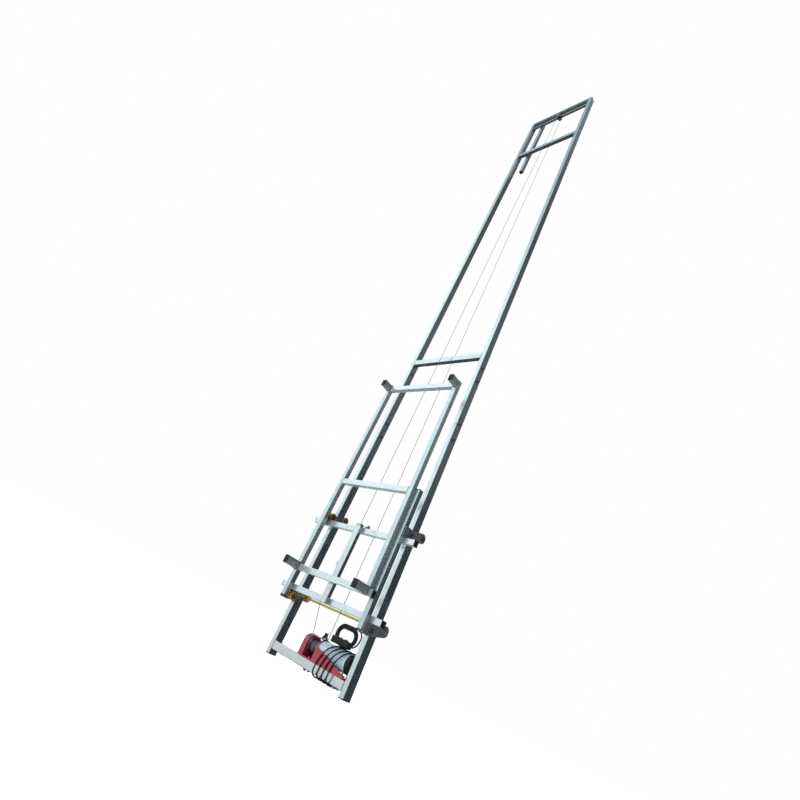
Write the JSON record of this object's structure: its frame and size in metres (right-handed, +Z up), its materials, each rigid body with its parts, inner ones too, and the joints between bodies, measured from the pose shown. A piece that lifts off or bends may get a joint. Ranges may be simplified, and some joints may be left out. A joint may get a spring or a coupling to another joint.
{
  "type": "inclined material hoist",
  "caption": "Ladder-type material hoist: steel tube mast with a roller-guided load carriage, head sheave and an electric wire-rope winch on the bottom beam.",
  "frame": {"origin": "mid-point between the two feet, at half the rails' depth", "axes": "+Z up along the mast, -Y towards the load side, +X towards the motor end of the winch"},
  "size_m": [0.762, 0.307, 5.17],
  "materials": {
    "galvanised_steel": "bright galvanised",
    "zinc_steel": "zinc plated",
    "black_plastic": "matte",
    "red_paint": "gloss",
    "silver_aluminium": "satin",
    "copper_winding": "varnished",
    "wire_rope": "stranded",
    "cord_rubber": "satin",
    "yellow_zinc": "yellow passivated",
    "green_plastic": "gloss",
    "grey_plastic": "gloss",
    "red_plastic": "gloss",
    "amber_polyurethane": "satin"
  },
  "bodies": {
    "mast": {"left_lower_rail": "galvanised_steel", "right_lower_rail": "galvanised_steel", "left_upper_rail": "galvanised_steel", "right_upper_rail": "galvanised_steel", "bottom_beam": "galvanised_steel", "middle_rung": "galvanised_steel", "upper_rung": "galvanised_steel", "top_bar": "galvanised_steel", "stop_tube": "galvanised_steel", "splice_sleeves": "zinc_steel", "splice_bolts": "zinc_steel", "mast_end_plugs": "black_plastic", "head_shaft": "zinc_steel", "winch_frame": "red_paint", "drum_guard": "red_paint", "gear_case": "red_paint", "motor_casing": "silver_aluminium", "motor_end_cover": "black_plastic", "motor_stator": "copper_winding", "control_box": "black_plastic", "cord_glands": "black_plastic", "winch_bolts": "zinc_steel", "hoist_rope_run": "wire_rope", "hoist_rope_fall": "wire_rope", "downhaul_rope": "wire_rope", "pendant_cord": "cord_rubber", "pendant_coil": "cord_rubber", "pendant_casing": "black_plastic", "power_cord": "cord_rubber", "power_cord_wraps": "cord_rubber", "power_plug": "black_plastic"},
    "carriage": {"left_stile": "galvanised_steel", "right_stile": "galvanised_steel", "upper_axle_beam": "galvanised_steel", "lower_axle_beam": "galvanised_steel", "centre_spine": "galvanised_steel", "left_cradle_tube": "galvanised_steel", "right_cradle_tube": "galvanised_steel", "cradle_crossbars": "galvanised_steel", "load_prongs": "galvanised_steel", "roller_brackets": "galvanised_steel", "roller_axles": "zinc_steel", "tie_rod": "yellow_zinc", "carriage_end_plugs": "black_plastic", "rope_anchor": "zinc_steel", "downhaul_end": "wire_rope"},
    "sheave": {"head_sheave": "zinc_steel"},
    "drum": {"rope_drum": "zinc_steel", "drum_gear": "zinc_steel", "rope_winding": "wire_rope"},
    "rotor": {"motor_rotor": "zinc_steel"},
    "intermediate": {"intermediate_gear": "zinc_steel"},
    "lever": {"limit_lever": "black_plastic"},
    "up_key": {"up_button": "green_plastic"},
    "down_key": {"down_button": "grey_plastic"},
    "stop_key": {"stop_button": "red_plastic"},
    "upper_front_roller_pair": {"upper_front_rollers": "amber_polyurethane"},
    "upper_rear_roller_pair": {"upper_rear_rollers": "amber_polyurethane"},
    "lower_front_roller_pair": {"lower_front_rollers": "amber_polyurethane"},
    "lower_rear_roller_pair": {"lower_rear_rollers": "amber_polyurethane"}
  },
  "joints": [
    {"name": "carriage_slide", "type": "slide", "parent": "mast", "child": "carriage", "axis": [0, 0, 1], "range_m": [0, 4.1], "deforming": ["hoist_rope_fall", "downhaul_rope"]},
    {"name": "drum_spin", "type": "hinge", "parent": "mast", "child": "drum", "pos_m": [0.0015, 0.008, 0.125], "axis": [1, 0, 0], "continuous": true},
    {"name": "sheave_spin", "type": "hinge", "parent": "mast", "child": "sheave", "pos_m": [0, -0.008, 5.081], "axis": [1, 0, 0], "continuous": true},
    {"name": "intermediate_spin", "type": "hinge", "parent": "mast", "child": "intermediate", "pos_m": [-0.05, 0.02497, 0.14197], "axis": [1, 0, 0], "continuous": true},
    {"name": "rotor_spin", "type": "hinge", "parent": "mast", "child": "rotor", "pos_m": [0.1, 0.008, 0.125], "axis": [1, 0, 0], "continuous": true},
    {"name": "upper_front_roll", "type": "hinge", "parent": "carriage", "child": "upper_front_roller_pair", "pos_m": [0, -0.0473, 0.735], "axis": [1, 0, 0], "continuous": true},
    {"name": "upper_rear_roll", "type": "hinge", "parent": "carriage", "child": "upper_rear_roller_pair", "pos_m": [0, 0.0473, 0.757], "axis": [1, 0, 0], "continuous": true},
    {"name": "lower_front_roll", "type": "hinge", "parent": "carriage", "child": "lower_front_roller_pair", "pos_m": [0, -0.0473, 0.282], "axis": [1, 0, 0], "continuous": true},
    {"name": "lower_rear_roll", "type": "hinge", "parent": "carriage", "child": "lower_rear_roller_pair", "pos_m": [0, 0.0473, 0.304], "axis": [1, 0, 0], "continuous": true},
    {"name": "limit_lever_pivot", "type": "hinge", "parent": "mast", "child": "lever", "pos_m": [0.018, 0.008, 0.176], "axis": [1, 0, 0], "range_deg": [-25, 25], "stiffness_Nm_per_rad": 0.3},
    {"name": "up_button_press", "type": "slide", "parent": "mast", "child": "up_key", "axis": [0, 0, 1], "range_m": [-0.003, 0], "stiffness_N_per_m": 200, "springref_m": 0.002},
    {"name": "down_button_press", "type": "slide", "parent": "mast", "child": "down_key", "axis": [0, 0, 1], "range_m": [-0.003, 0], "stiffness_N_per_m": 200, "springref_m": 0.002},
    {"name": "stop_button_press", "type": "slide", "parent": "mast", "child": "stop_key", "axis": [0, 0, 1], "range_m": [-0.003, 0], "stiffness_N_per_m": 200, "springref_m": 0.002}
  ],
  "couplings": [
    {"joint": "drum_spin", "follows": "carriage_slide", "rad_per_m": -35.714},
    {"joint": "sheave_spin", "follows": "carriage_slide", "rad_per_m": -35.714},
    {"joint": "intermediate_spin", "follows": "carriage_slide", "rad_per_m": 86.735},
    {"joint": "rotor_spin", "follows": "carriage_slide", "rad_per_m": -291.74},
    {"joint": "upper_front_roll", "follows": "carriage_slide", "rad_per_m": -45.455},
    {"joint": "upper_rear_roll", "follows": "carriage_slide", "rad_per_m": 45.455},
    {"joint": "lower_front_roll", "follows": "carriage_slide", "rad_per_m": -45.455},
    {"joint": "lower_rear_roll", "follows": "carriage_slide", "rad_per_m": 45.455}
  ]
}
